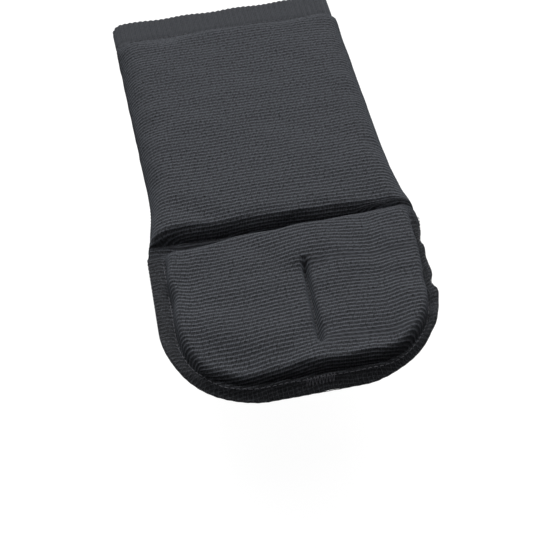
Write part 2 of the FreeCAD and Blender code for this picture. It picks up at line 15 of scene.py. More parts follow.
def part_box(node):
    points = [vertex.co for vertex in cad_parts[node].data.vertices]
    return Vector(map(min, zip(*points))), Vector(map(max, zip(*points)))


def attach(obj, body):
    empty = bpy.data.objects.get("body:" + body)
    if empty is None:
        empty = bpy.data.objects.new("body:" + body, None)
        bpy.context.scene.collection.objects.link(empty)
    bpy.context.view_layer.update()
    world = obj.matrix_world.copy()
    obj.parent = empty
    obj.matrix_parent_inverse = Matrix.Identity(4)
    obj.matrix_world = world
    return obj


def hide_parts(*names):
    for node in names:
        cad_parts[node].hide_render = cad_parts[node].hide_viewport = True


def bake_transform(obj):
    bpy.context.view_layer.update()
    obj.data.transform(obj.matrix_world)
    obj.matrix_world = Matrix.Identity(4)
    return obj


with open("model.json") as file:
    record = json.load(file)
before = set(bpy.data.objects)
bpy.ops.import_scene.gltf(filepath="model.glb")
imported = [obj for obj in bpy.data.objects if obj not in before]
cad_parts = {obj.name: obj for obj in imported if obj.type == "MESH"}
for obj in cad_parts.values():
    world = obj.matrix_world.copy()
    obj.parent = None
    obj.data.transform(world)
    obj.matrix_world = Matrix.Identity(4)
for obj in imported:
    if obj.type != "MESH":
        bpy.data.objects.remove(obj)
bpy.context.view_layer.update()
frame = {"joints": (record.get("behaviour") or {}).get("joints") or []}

MM = 0.001
HINGE_Y = frame["joints"][0]["pos_m"][1] / MM
LEFT, RIGHT = -1, 1


def node_box(name):
    """Lowest and highest corner of a CAD node, in millimetres."""
    return [np.array(corner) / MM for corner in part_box(name)]


# ---------- sizes, from the CAD where it has them

SLEEVE_HIGH = node_box("forearm_cover")[1]
CAP_LOW = node_box("cap_cover")[0]
LINING_HIGH = node_box("cap_lining")[1]
CUFF_LOW, CUFF_HIGH = node_box("cuff_front")

SLEEVE_HALF = SLEEVE_HIGH[0]
SLEEVE_END = SLEEVE_HIGH[1] - HINGE_Y
CAP_LENGTH = HINGE_Y - CAP_LOW[1]
TOP = SLEEVE_HIGH[2]
RIM_TOP = LINING_HIGH[2] + 1.4

RIB = 1.87
ROWS_PER_RIB = 5
RIB_HEIGHT = 0.26
RIB_CURVE = 0.00044
CAP_LEAN = math.tan(math.radians(2.2))

RIM_HALF = {LEFT: 64.8, RIGHT: 60.6}
RIM_CORNER = {LEFT: 42, RIGHT: 41}
RIM_ROLL = 0.75
RIM_SIDE = (40, 52)
GATHER = 2.05
TIP_DROOP = (62, 84)
LINING_THICK = 0.8
FLARE = {LEFT: 4.3, RIGHT: 3.0}
FLARE_LENGTH = 18
SIDE_ROLL = 11.7
SIDE_FOOT = 9.0

DOME_HALF = 57.5
DOME_CORNER = 32
DOME_FRONT = 85.2
DOME_WALL = 3.4

CHANNEL_FLOOR = 10.9
CHANNEL_MIDDLE = -3.5
SLEEVE_WALL = 4.2
CAP_WALL = 6
BRIDGED = (50, 57)
BRIDGE_DIP = 1.5

QUILT_START, QUILT_END = 30, 73

CUFF_RIB = 2.75
ELASTIC_CORD = 1.6

CLOTH_STEP = (7, 3)
CLOTH_FRAMES = 24
CLOTH_PRESSURE = 2.0
CLOTH_SPARE = 0.015
CLOTH_BENDING = 0.3
CLOTH_REACH = 0.9

SEAM_INSET, SEAM_WIDTH = 2.5, 5.0
RIM_STITCH_OUT = (0.4, 1.5)
THREAD_RADIUS = 0.17
LINE_STEP = 0.4
ROW_HALF = 51
STITCH = 2.6
OVERLOCK_STITCH = 2.2
TACK_DROP, TACK_STEP = 1.2, 0.75
TACK_THREAD = 0.16

WHITE = 0.97
FLOOR_Z = -0.1
FLOOR_HALF = 3


def smooth(x, low, high):
    """0 before low, 1 after high, and a smooth step between them."""
    q = np.clip((x - low) / (high - low), 0, 1)
    return q * q * (3 - 2 * q)


def puff(q):
    """Height of stuffed padding at q of its edge's width: upright at the seam, 0, and level at 1."""
    return np.sqrt(1 - (1 - np.clip(q, 0, 1)) ** 2)


def bell(x, width):
    """A bump of height 1 at 0 that has died away at about twice its width."""
    return np.exp(-((x / width) ** 2))


def mix(a, b, share):
    """a at share 0, b at share 1."""
    return a + (b - a) * share


def stacked(*coordinates):
    """Points from arrays of their coordinates."""
    return np.stack(np.broadcast_arrays(*coordinates), axis=-1)


def unit(vectors):
    """Vectors of length 1 in the same directions."""
    return vectors / np.maximum(np.linalg.norm(vectors, axis=-1, keepdims=True), 1e-9)


def ripple(x, y, wavelength, seed, waves=7):
    """A smooth, seeded unevenness of about that wavelength and a size of about 1."""
    rng = np.random.default_rng(seed)
    total = 0
    for _ in range(waves):
        angle, phase = rng.uniform(0, 2 * math.pi, 2)
        k = 2 * math.pi / (wavelength * rng.uniform(0.75, 1.4))
        total = total + np.sin(k * (x * math.cos(angle) + y * math.sin(angle)) + phase)
    return total / math.sqrt(waves / 2)


# ---------- shape of the padded front


def channel_edges(x):
    """Where the forearm pad's wall and the cap's wall stand, either side of the sewn channel."""
    return -3.0 - 0.025 * x, -5.7 + 0.036 * x - 1.5 * smooth(-x, 18, 50)


def outline_half(along, side):
    """Half width of the front's outline on one side. The right side of the rim is gathered and pulled in."""
    sleeve = SLEEVE_HALF + FLARE[side] * bell(along + 3, FLARE_LENGTH)
    past = -along
    corner = RIM_CORNER[side]
    bend = np.clip(past - (CAP_LENGTH - corner), 0, corner)
    rim = RIM_HALF[side] - corner + np.sqrt(corner**2 - bend**2)
    if side == RIGHT:
        gathers = np.sin(past / GATHER) + 0.6 * np.sin(past / 1.37 + 1)
        rim = rim + 0.3 * gathers * smooth(past, 12, 24) * (1 - smooth(past, 66, 78))
        rim = rim + 0.4 * bell(past - 62, 7) - 1.0 * bell(past - 47, 4)
    half = mix(sleeve, rim - RIM_ROLL, smooth(past, -4, 7))
    pushed_out = 2.8 * bell(past - 8, 9) if side == RIGHT else 0
    return half + pushed_out


def pulled_in(x, past):
    """How far the gathered right side of the cap's padding is drawn in."""
    return 2.2 * smooth(x, 20, 50) * smooth(past, 30, 52)


def inside_dome(x, past):
    """Distance in from the foot of the cap's padding, negative outside it."""
    a = np.abs(x) + pulled_in(x, past) - (DOME_HALF - DOME_CORNER)
    b = past - (DOME_FRONT - DOME_CORNER)
    corner = (a > 0) & (b > 0)
    return DOME_CORNER - np.where(corner, np.hypot(a, b), np.maximum(a, b))


def flange_height(x, past, creased=True):
    """Top of the flat rim round the padding: drooping at the tip, and curled up in gathers on the right."""
    out = np.clip(-inside_dome(x, past), 0, None)
    front = smooth(past, *TIP_DROOP)
    droop = out * (0.12 + 0.95 * front)
    ridge = 1.1 * bell(out - 1.5, 1.1) * front * (1 + 0.25 * np.sin(x / 3.1))
    right = smooth(x, *RIM_SIDE) * (1 - smooth(past, 68, 80)) * smooth(past, 6, 14)
    lumps = np.sin(past / GATHER + 0.8) + 0.6 * np.sin(past / 1.4)
    curl = right * (0.45 * out + 0.14 * lumps * np.clip(out, 0, 3))
    left = smooth(-x, *RIM_SIDE) * (1 - smooth(past, 68, 82)) * smooth(past, 8, 16)
    left = left * (1 + 0.3 * np.sin(past / 3.7))
    if creased:
        wrinkles = 0.45 * np.sin((past + 1.3 * out) / 1.9) * (0.6 + 0.4 * np.sin(past / 7.3))
        curl = curl - (2.0 * right + 1.6 * left) * bell(out, 1.6)
        curl = curl + left * wrinkles * bell(out - 2.6, 2) + ridge
    return RIM_TOP - droop + curl


def quilt_line(past):
    """Where across the cap the line sewn down its middle runs."""
    return 4.0 - (past - QUILT_START) * 0.02


def along_quilt(past, blur):
    """1 along the quilted line and 0 past its ends."""
    started = smooth(past, QUILT_START - blur, QUILT_START + blur)
    ended = smooth(past, QUILT_END - blur, QUILT_END + blur)
    return started * (1 - ended)


def quilt_depth(x, past):
    """Depth of the line sewn down the cap: a narrow crease in a soft dimple, deepest near its ends."""
    off = x - quilt_line(past)
    pockets = bell(past - QUILT_START - 4, 5) + bell(past - QUILT_END + 4, 5)
    dimple = (2.0 + pockets) * bell(off, 8) * along_quilt(past, 7)
    return dimple + 6.4 * bell(off, 1.45) * along_quilt(past, 3)


def cap_height(x, along, quilted):
    """Top of the cap's rim and padding, which slopes down towards the tip, most at the left."""
    past = -along
    floor = flange_height(x, past)
    crown = TOP - 1.0 * (x / DOME_HALF) ** 2 - 1.2 * smooth(past, 62, 86)
    crown = crown - 3.4 * smooth(past, 48, 86) * smooth(-x, -4, 46)
    if quilted:
        crown = crown - quilt_depth(x, past)
    wall_start = -channel_edges(x)[1]
    uneven = 0.5 * ripple(x, past, 19, 14) * smooth(-x, 30, 50)
    share = puff((inside_dome(x, past) + uneven) / DOME_WALL) * puff((past - wall_start) / CAP_WALL)
    return floor + (crown - floor) * share


def side_roll(x, along):
    """Top of the padding across the sleeve, rolled down to the seam at each side."""
    side = np.where(x < 0, outline_half(along, LEFT), outline_half(along, RIGHT))
    top = SIDE_FOOT + (TOP - SIDE_FOOT) * puff((side - np.abs(x)) / SIDE_ROLL)
    return top - 0.8 * (x / SLEEVE_HALF) ** 2 * smooth(side - np.abs(x), 0, SIDE_ROLL)


def sleeve_height(x, along):
    """Top of the forearm pad: rolled sides, a steep wall at the channel and a rounded end at the cuff."""
    top = side_roll(x, along)
    base = np.minimum(top, CHANNEL_FLOOR)
    wall = SLEEVE_WALL - 1.9 * bell(x, 32)
    share = puff((along - channel_edges(x)[0]) / wall) * puff((SLEEVE_END - along) / 9)
    return base + (top - base) * share


def front_height(x, along, detailed=True):
    """Top of the whole padded front. Details are the quilted line and the channel's bridged right end."""
    near, far = channel_edges(x)
    middle = (near + far) / 2
    cap = cap_height(x, along, detailed)
    height = mix(cap, sleeve_height(x, along), smooth(along, middle - 1.2, middle + 1.2))
    if detailed:
        bridge = 0.8 * smooth(x, *BRIDGED) * (1 - smooth(-along, 8, 22)) * (1 - smooth(along, 6, 16))
        height = mix(height, side_roll(x, along) - BRIDGE_DIP, bridge)
    groove = 1.1 * bell(along - middle, 1.4)
    uneven = 0.22 * ripple(x, along, 42, 11) + 0.1 * ripple(x, along, 17, 12)
    return height - groove + uneven * smooth(height, RIM_TOP + 1, TOP)


# ---------- meshes


def add_piece(name, points, faces, material=None, cloth=None, extra=None):
    """A smooth-shaded mesh from points in millimetres, measured from the hinge along the pad."""
    points = np.asarray(points, float).reshape(-1, 3) + (0, HINGE_Y, 0)
    mesh = bpy.data.meshes.new(name)
    faces = faces.tolist() if isinstance(faces, np.ndarray) else faces
    mesh.from_pydata((points * MM).tolist(), [], faces)
    mesh.polygons.foreach_set("use_smooth", [True] * len(mesh.polygons))
    if cloth is not None:
        layer = mesh.attributes.new("cloth", "FLOAT_VECTOR", "POINT")
        flat = np.zeros((len(points), 3), np.float32)
        flat[:, : cloth.shape[-1]] = cloth.reshape(len(points), -1)
        layer.data.foreach_set("vector", (flat * MM).ravel())
    for key, values in (extra or {}).items():
        layer = mesh.attributes.new(key, "FLOAT", "POINT")
        layer.data.foreach_set("value", np.asarray(values, np.float32).ravel())
    mesh.validate()
    obj = bpy.data.objects.new(name, mesh)
    bpy.context.scene.collection.objects.link(obj)
    if material is not None:
        mesh.materials.append(material)
    return obj


def grid_faces(rows, columns, first=0, wrap=False):
    """Quads of a grid of points, facing up where x grows with the column and y with the row."""
    here = np.arange(rows - 1)[:, None] * columns
    above = here + columns
    j = np.arange(columns if wrap else columns - 1)[None, :]
    k = (j + 1) % columns
    return stacked(here + j, here + k, above + k, above + j).reshape(-1, 4) + first


# ---------- the front's grid, laid out along the knit


def front_rows():
    """Places across the front, the knit coordinate of each row of its grid, and how the rows run along it.

    The cloth keeps its length over the padding, so a row lies where the surface's arc length says.
    """
    step = 0.05
    past_wall = -16
    xs = np.linspace(-68, 68, 273)
    ys = np.arange(-CAP_LENGTH - 6, SLEEVE_END + 0.3, step)
    x, y = np.meshgrid(np.clip(xs, -50, 50), ys, indexing="ij")
    slope = np.gradient(front_height(x, y, detailed=False), ys, axis=1)
    sloped = np.cumsum(np.hypot(slope, 1) * step, axis=1)
    sloped -= sloped[:, [np.searchsorted(ys, 0)]]
    centre = sloped[len(xs) // 2]
    level = np.where(ys < past_wall, centre[np.searchsorted(ys, past_wall)] + ys - past_wall, centre)
    arc = mix(sloped, level[None, :], smooth(np.where(xs > 0, xs + 14, -xs), 46, 60)[:, None])
    start, stop = np.interp([-CAP_LENGTH, SLEEVE_END], ys, arc[len(xs) // 2])
    rows = np.append(np.arange(start, stop, RIB / ROWS_PER_RIB), stop)
    along = np.array([np.interp(rows, a, ys) for a in arc])
    calm = (1 - 0.8 * bell(along + 3, 9)) * smooth(along + CAP_LENGTH, 2, 12)
    along += 0.16 * ripple(xs[:, None], along, 34, 5) * calm
    curved = smooth(along, 8, 40) * (1 - smooth(along, SLEEVE_END - 45, SLEEVE_END))
    along += RIB_CURVE * (xs**2)[:, None] * curved
    along += (SLEEVE_END - along[:, -1:]) * smooth(along, SLEEVE_END - 25, SLEEVE_END)
    count = np.arange(len(rows))
    spacing = 0.02
    return xs, rows, np.clip(along, -CAP_LENGTH + spacing * count, SLEEVE_END - spacing * count[::-1])


def front_grid():
    """Points of the padded front's top and their knit coordinates, in rows that run with the ribs."""
    xs, rows, along = front_rows()
    columns = 115
    turn = np.sin(np.linspace(-0.5, 0.5, 641) * math.pi)
    points = np.zeros((len(rows), columns, 3))
    across = np.zeros((len(rows), columns))
    for i in range(len(rows)):
        y = along[:, i]
        ends = []
        for side in (LEFT, RIGHT):
            spare = outline_half(y, side) - np.abs(xs)
            ok = np.where((spare >= 0) & (xs * side >= 0))[0]
            j = ok[0] if side == LEFT else ok[-1]
            k = j + side
            share = spare[j] / max(spare[j] - spare[k], 1e-9)
            ends.append(xs[j] + (xs[k] - xs[j]) * min(share, 1))
        x = (ends[0] + ends[1]) / 2 + (ends[1] - ends[0]) / 2 * turn
        y = np.interp(x, xs, y)
        z = front_height(x, y)
        length = np.append(0, np.cumsum(np.hypot(np.diff(x), np.diff(z))))
        spacing = 1.35 - 0.75 * bell(x - 4, 7)
        measure = np.append(0, np.cumsum(np.diff(length) / spacing[1:]))
        at = np.interp(np.linspace(0, measure[-1], columns), measure, np.arange(len(x)))
        step = np.arange(len(x))
        points[i] = stacked(*(np.interp(at, step, a) for a in (x, y, z)))
        across[i] = np.interp(at, step, length) - np.interp(0, x, length)
    return points, stacked(across, rows[:, None])


def grid_normals(points):
    """Unit normals of a grid of points, on the side that its faces look to."""
    return unit(np.cross(np.gradient(points, axis=1), np.gradient(points, axis=0)))


def lean(points):
    """The cap leans to the left, more towards its tip."""
    moved = points.copy()
    past = np.clip(-points[..., 1] - 4, 0, None)
    moved[..., 0] -= CAP_LEAN * past**2 / (past + 6)
    return moved


def rib_profile(rows):
    """Rounded ribs with narrow valleys between them."""
    wave = 0.5 - 0.5 * np.cos(2 * math.pi * rows / RIB)
    return wave**0.6 - 0.62


def boundary(rows, columns):
    """Numbers of a grid's outer points, in order round it."""
    index = np.arange(rows * columns).reshape(rows, columns)
    return np.concatenate([index[0, :-1], index[:-1, -1], index[-1, :0:-1], index[:0:-1, 0]])


def turned_edge(points, knit, loop):
    """Rings that turn the cloth's edge under: round on the cap's rim, and a tight fold along the sleeve."""
    edge = points[loop]
    flat = knit[loop]
    tangent = np.roll(edge, -2, axis=0) - np.roll(edge, 2, axis=0)
    for _ in range(3):
        tangent = (np.roll(tangent, 1, axis=0) + tangent + np.roll(tangent, -1, axis=0)) / 3
    outward = unit(stacked(tangent[:, 1], -tangent[:, 0]))
    on_cap = smooth(-edge[:, 1], 2.5, 6.5)[:, None]
    radius = mix(0.35, RIM_ROLL, on_cap)
    start = mix(math.pi / 2, 0, on_cap)
    rings, flats = [], []
    for q in np.linspace(0, 1, 8)[1:]:
        angle = start + (math.pi - start) * q
        reach = radius * (np.sin(angle) - np.sin(start))
        drop = radius * (np.cos(start) - np.cos(angle))
        rings.append(np.concatenate([edge[:, :2] + outward * reach, edge[:, 2:] - drop], axis=1))
        flats.append(flat + outward * radius * (angle - start))
    under, under_flat = rings[-1], flats[-1]
    for inward in (1.2, 3.2):
        plan = under[:, :2] - outward * inward
        rings.append(np.concatenate([plan, under[:, 2:] + 0.05 * inward], axis=1))
        flats.append(under_flat + outward * inward)
    return np.array(rings), np.array(flats)


def blurred(field, passes):
    """A grid of vectors smoothed along its rows and columns, with its outer points kept."""
    for _ in range(passes):
        for axis in (0, 1):
            f = np.moveaxis(field, axis, 0)
            f[1:-1] = (f[:-2] + 2 * f[1:-1] + f[2:]) / 4
    return field


def stretched(field, kept, count, axis):
    """A grid of vectors known at the kept rows or columns, filled in between them."""
    at = np.interp(np.arange(count), kept, np.arange(len(kept)))
    low = np.minimum(at.astype(int), len(kept) - 2)
    share = (at - low).reshape((-1, 1, 1) if axis == 0 else (1, -1, 1))
    return mix(np.take(field, low, axis), np.take(field, low + 1, axis), share)


def sewn_down(points):
    """Where the cover is held: in the channel, round the padding, along the quilted line and at its edge."""
    x, along, z = points[..., 0], points[..., 1], points[..., 2]
    near, far = channel_edges(x)
    held = (along < near + 0.8) & (along > far - 0.8)
    held |= (along < far) & (inside_dome(x, -along) < 0.8)
    held |= (np.abs(x - quilt_line(-along)) < 1.6) & (along_quilt(-along, 1) > 0.5)
    held |= z < SIDE_FOOT + 3
    held[[0, -1], :] = True
    held[:, [0, -1]] = True
    return held


def settle(points):
    """Cloth simulation of the cover: a little too large for its foam, pressed out, and held at its seams."""
    pick = [np.unique(np.append(np.arange(0, n, k), n - 1)) for n, k in zip(points.shape[:2], CLOTH_STEP)]
    coarse = points[np.ix_(*pick)]
    cloth = add_piece("cloth_run", coarse, grid_faces(*coarse.shape[:2]))
    cloth.vertex_groups.new(name="sewn").add(np.flatnonzero(sewn_down(coarse)).tolist(), 1.0, "REPLACE")
    modifier = cloth.modifiers.new("Cloth", "CLOTH")
    settings = modifier.settings
    settings.quality = 8
    settings.mass = 0.3
    settings.tension_stiffness = settings.compression_stiffness = 20
    settings.shear_stiffness = 8
    settings.bending_stiffness = CLOTH_BENDING
    settings.air_damping = 4
    settings.vertex_group_mass = "sewn"
    settings.shrink_min = -CLOTH_SPARE
    settings.use_pressure = True
    settings.uniform_pressure_force = CLOTH_PRESSURE
    settings.effector_weights.gravity = 0
    modifier.collision_settings.use_collision = False
    modifier.point_cache.frame_end = CLOTH_FRAMES
    for step in range(1, CLOTH_FRAMES + 1):
        bpy.context.scene.frame_set(step)
    settled = cloth.evaluated_get(bpy.context.evaluated_depsgraph_get()).to_mesh()
    place = np.empty(coarse.size)
    settled.vertices.foreach_get("co", place)
    bpy.data.objects.remove(cloth)
    bpy.context.scene.frame_set(1)
    moved = place.reshape(coarse.shape) / MM - (0, HINGE_Y, 0) - coarse
    length = np.linalg.norm(moved, axis=-1, keepdims=True)
    moved *= CLOTH_REACH * np.tanh(length / CLOTH_REACH) / np.maximum(length, 1e-9)
    for axis in (0, 1):
        moved = stretched(moved, pick[axis], points.shape[axis], axis)
    return points + blurred(moved, 10)


def make_front(material):
    """The knit cover over both pads, with raised ribs and its edge turned under."""
    points, knit = front_grid()
    points = settle(points)
    rows, columns = points.shape[:2]
    past = -points[..., 1]
    on_flange = smooth(-inside_dome(points[..., 0], past), -0.5, 1.5) * smooth(past, 4, 9)
    normal = grid_normals(points)
    height = RIB_HEIGHT * (1 - 0.35 * on_flange)
    ribbed = points + normal * (height * rib_profile(knit[..., 1]))[..., None]
    flat_points, flat_knit = ribbed.reshape(-1, 3), knit.reshape(-1, 2)
    loop = boundary(rows, columns)
    rings, flats = turned_edge(flat_points, flat_knit, loop)
    count = len(loop)
    ring_faces = grid_faces(len(rings), count, rows * columns, wrap=True)[:, ::-1]
    base = rows * columns + np.arange(count)
    join = stacked(np.roll(loop, -1), loop, base, np.roll(base, -1))
    faces = np.concatenate([grid_faces(rows, columns), ring_faces, join])
    everything = np.concatenate([flat_points, rings.reshape(-1, 3)])
    cloth = np.concatenate([flat_knit, flats.reshape(-1, 2)])
    # The flange attribute marks the cap's rim and its turned-under edge, where the cover's material paints
    # shade.
    rim = np.concatenate([on_flange.ravel(), np.tile(smooth(-flat_points[loop][:, 1], 4, 9), len(rings))])
    return add_piece("front_cover", lean(everything), faces, material, cloth, {"flange": rim})


# ---------- closed sheets and bands


def closed_sheet(outer, inner):
    """Points and faces of a sheet with two faces and an edge. The outer grid's faces look outwards."""
    rows, columns = outer.shape[:2]
    count = rows * columns
    loop = boundary(rows, columns)
    after = np.roll(loop, -1)
    sides = stacked(loop, loop + count, after + count, after)
    faces = np.concatenate([grid_faces(rows, columns), grid_faces(rows, columns, count)[:, ::-1], sides])
    return np.concatenate([outer.reshape(-1, 3), inner.reshape(-1, 3)]), faces


def both_faces(*coordinates):
    """Knit coordinates of a closed sheet, the same on its two faces."""
    flat = stacked(*coordinates).reshape(-1, 2)
    return np.concatenate([flat, flat])


def arc_length(line):
    """Length along a line up to each of its points."""
    return np.append(0, np.cumsum(np.linalg.norm(np.diff(line, axis=0), axis=1)))


def along_line(line, at):
    """Points at lengths along a line."""
    length = arc_length(line)
    return stacked(*(np.interp(at, length, column) for column in line.T))


def resampled(line, step):
    """The same line with evenly spaced points."""
    line = np.asarray(line, float)
    total = arc_length(line)[-1]
    return along_line(line, np.linspace(0, total, int(total / step) + 1))


def make_lining(material):
    """One knit lining under both pads, pinched up where channel and quilted line are sewn through it."""
    along = np.concatenate([
        np.linspace(-CAP_LENGTH + 0.3, -9, 92),
        np.linspace(-8.5, 3, 36),
        np.linspace(4, SLEEVE_END - 1.5, 118),
    ])
    across = np.sin(np.linspace(-0.5, 0.5, 113) * math.pi)
    y = np.repeat(along[:, None], len(across), axis=1)
    inset = mix(1.8, 0.5, smooth(-along, 2.5, 6.5))
    left = -(outline_half(along, LEFT) - inset)[:, None]
    right = (outline_half(along, RIGHT) - inset)[:, None]
    x = (left + right) / 2 + (right - left) / 2 * across
    rim = flange_height(x, -y, creased=False)
    z = mix(rim, RIM_TOP, smooth(y, -9, -5)) - 2 * RIM_ROLL - 0.1
    sewn = along_quilt(-y, 3)
    inside = smooth(SLEEVE_HALF - np.abs(x), 0, 8) * smooth(CAP_LENGTH + y, 6, 16)
    z -= (0.25 + 0.1 * ripple(x, y, 26, 21)) * inside * (1 - bell(y - CHANNEL_MIDDLE, 5))
    z += 0.6 * bell(y - CHANNEL_MIDDLE, 2.2) + 0.7 * bell(x - quilt_line(-y), 2.5) * sewn
    outer = stacked(x, y, z)
    points, faces = closed_sheet(outer, outer - grid_normals(outer) * LINING_THICK)
    return add_piece("lining", lean(points), faces, material, both_faces(x, y))


def make_back(material):
    """The stretch back: up both sides to the seams, with a turned hem at the elbow end."""
    low, high = node_box("sleeve_back")
    start, end = low[1] - HINGE_Y, high[1] - HINGE_Y
    corner, fold, thick, hem_thick, hem_depth = 7.0, 0.65, 1.3, 1.2, 10
    top = high[2] + 0.1
    along = np.concatenate([
        start + fold * (1 - np.cos(np.linspace(0, math.pi / 2, 6))),
        np.arange(start + 1, start + hem_depth - 0.5, 0.85),
        np.linspace(start + hem_depth - 0.4, start + hem_depth + 0.4, 6),
        np.arange(start + hem_depth + 1, end, 1.3),
        [end],
    ])
    seam = [(2.6, top), (1.8, top), (1.0, top - 0.05), (0.45, top - 0.25), (0.12, top - 0.6)]
    rise = [(0, z) for z in np.arange(top - 0.9, corner, -0.3)]
    turn = np.linspace(0, math.pi / 2, 24)
    arc = [(corner * (1 - math.cos(a)), corner * (1 - math.sin(a))) for a in turn]
    half = np.array(seam + rise + arc)
    flat = np.linspace(0, 1, 82)[1:-1]
    rows = []
    for y in along:
        left, right = (float(outline_half(np.array(y), side)) for side in (LEFT, RIGHT))
        floor = mix(corner - left, right - corner, flat)
        x = np.concatenate([half[:, 0] - left, floor, right - half[::-1, 0]])
        z = np.concatenate([half[:, 1], np.zeros(len(flat)), half[::-1, 1]])
        rows.append(stacked(x, y, z))
    points = np.array(rows)
    x, y, z = points[..., 0], points[..., 1], points[..., 2]
    inwards = grid_normals(points)
    sag = np.clip(0.25 + 0.2 * ripple(x, y, 30, 31), 0.02, 1) * smooth(SLEEVE_HALF - np.abs(x), 8, 16)
    waves = 0.2 * ripple(z * 3, y, 11, 32) * bell(z - 4, 2.5) * smooth(y, start + 3, start + 20)
    rounding = fold * (1 - puff((y - start) / fold))
    hem = hem_thick * (1 - smooth(y, start + hem_depth - 0.2, start + hem_depth + 0.2))
    hem = hem * smooth(top - z, 0.6, 4)
    outside = points + inwards * (waves + rounding)[..., None]
    outside[..., 2] += sag
    inside = outside + inwards * (thick + hem - 2 * rounding)[..., None]
    across = arc_length(points[len(rows) // 2])
    points, faces = closed_sheet(inside, outside)
    return add_piece("back_panel", points, faces, material, both_faces(across[None, :], y))


def stadium(s, half, low, high):
    """Points and outward directions at lengths s round a flat ring with half-round sides."""
    radius, middle = (high - low) / 2, (high + low) / 2
    straight, bend = 2 * (half - radius), math.pi * radius
    s = np.mod(s, 2 * (straight + bend))
    second = s >= straight + bend
    side = np.where(second, -1, 1)
    s = s - second * (straight + bend)
    angle = np.clip(s - straight, 0, bend) / radius
    x = side * (np.clip(s, 0, straight) - straight / 2 + radius * np.sin(angle))
    return x, middle + side * radius * np.cos(angle), side * np.sin(angle), side * np.cos(angle)


def make_cuff(material):
    """A ring of rib knit, folded double over its elastic, with its ribs along the arm."""
    low, high = CUFF_LOW[1] - HINGE_Y, CUFF_HIGH[1] - HINGE_Y
    half, bottom, top, thick = SLEEVE_HALF - 0.4, 0.3, CUFF_HIGH[2] - 0.25, 2.6
    total = 4 * (half - (top - bottom) / 2) + math.pi * (top - bottom)
    ribs = round(total / CUFF_RIB)
    s = np.arange(ribs * 7) / (ribs * 7) * total
    x, z, nx, nz = stadium(s, half, bottom, top)
    ribbed = (0.5 - 0.5 * np.cos(2 * math.pi * s * ribs / total)) ** 0.7 - 0.5
    out = np.linspace(low - 0.8, high - thick / 2, 26)
    fold = np.linspace(0, math.pi, 9)[1:-1]
    path = np.concatenate([
        stacked(out, 0),
        stacked(high - thick / 2 + thick / 2 * np.sin(fold), -thick / 2 * (1 - np.cos(fold))),
        stacked(out[::-1], -thick),
    ])
    rings = []
    for y, depth in path:
        from_seam = y - low
        pulled = 0.3 * (bell(from_seam - 2.2, 1) + bell(from_seam - 5.6, 1))
        facing = 1 if depth > -thick / 2 else -1
        offset = depth + facing * (0.5 * ribbed - pulled - 1.0 * (1 - smooth(from_seam, -0.8, 1)))
        gather = 0.35 * np.sin(2 * math.pi * s * 9 / total) * smooth(from_seam, 4, 20)
        rings.append(stacked(x + nx * offset, y + gather, z + nz * offset))
    points = np.array(rings)
    rows, columns = points.shape[:2]
    ring = np.arange(columns)
    after = np.roll(ring, -1)
    last = (rows - 1) * columns
    closing = stacked(last + ring, last + after, after, ring)
    faces = np.concatenate([grid_faces(rows, columns, wrap=True), closing])
    knit = stacked(s[None, :], arc_length(path)[:, None])
    return add_piece("cuff", points, faces, material, knit)


def rounded_line(corners, radius, step):
    """A line through (x, z) corners with its turns rounded, as evenly spaced points."""
    line = [np.array(corners[0], float)]
    for before, here, after in zip(corners, corners[1:], corners[2:]):
        before, here, after = (np.array(p, float) for p in (before, here, after))
        a = here + (before - here) / np.linalg.norm(before - here) * radius
        b = here + (after - here) / np.linalg.norm(after - here) * radius
        for q in np.linspace(0, 1, 9):
            line.append((1 - q) ** 2 * a + 2 * q * (1 - q) * here + q * q * b)
    return resampled(line + [np.array(corners[-1], float)], step)


def make_band(name, line, low, high, thick, material):
    """A flat woven elastic with raised cords: a line of (x, z) points, from low to high along the pad."""
    cords = round((high - low) / ELASTIC_CORD)
    y = np.linspace(low, high, cords * 6 + 1)
    line = np.asarray(line, float)
    points = stacked(line[:, :1], y[None, :], line[:, 1:])
    edge = np.minimum(y - low, high - y)
    raised = 0.1 * np.abs(np.sin(math.pi * cords * (y - low) / (high - low)))
    reach = thick / 2 * puff((edge + 0.05) / 0.7) + raised
    out = grid_normals(points) * reach[None, :, None]
    shape, faces = closed_sheet(points + out, points - out)
    return add_piece(name, shape, faces, material, both_faces(y[None, :], arc_length(line)[:, None]))


def strap_line():
    """The strap's path: flat under the rim at each side, and round behind the arm between them."""
    low, high = node_box("cap_strap")
    tab_low, tab_high = node_box("strap_tab_right")
    tab = (tab_low[2] + tab_high[2]) / 2
    half = high[0] - 0.9
    floor = low[2] + 0.95
    corners = [(tab_high[0], tab), (half, tab), (half - 0.4, 3.4), (half - 4.5, floor), (0, floor)]
    right = rounded_line(corners, 1.9, 0.45)
    return np.concatenate([right * (-1, 1), right[-2::-1]])


# ---------- seam allowances and thread


def make_side_seam(name, side, material):
    """A side seam's trimmed allowance: a strip of three layers inside the tube, loose at its free edge."""
    low, high = node_box("side_seam_right")
    y = np.arange(low[1], high[1], 1.4)[:, None] - HINGE_Y
    free = np.linspace(1, 0, 14)[None, :]
    x = outline_half(y, side) - SEAM_INSET - SEAM_WIDTH * free
    z = high[2] - 1.0 - free**1.5 * (0.45 + 0.25 * ripple(x, y, 12, 40 + side))
    strip = stacked(side * x, y, z)[:, ::side]
    edge = np.minimum(free, 1 - free)[:, ::side] * SEAM_WIDTH
    reach = np.broadcast_to(0.6 * puff((edge + 0.06) / 0.7), z.shape)
    out = grid_normals(strip) * reach[..., None]
    points, faces = closed_sheet(strip + out, strip - out)
    return add_piece(name, points, faces, material, both_faces(free * SEAM_WIDTH, y)), strip[:, ::side]


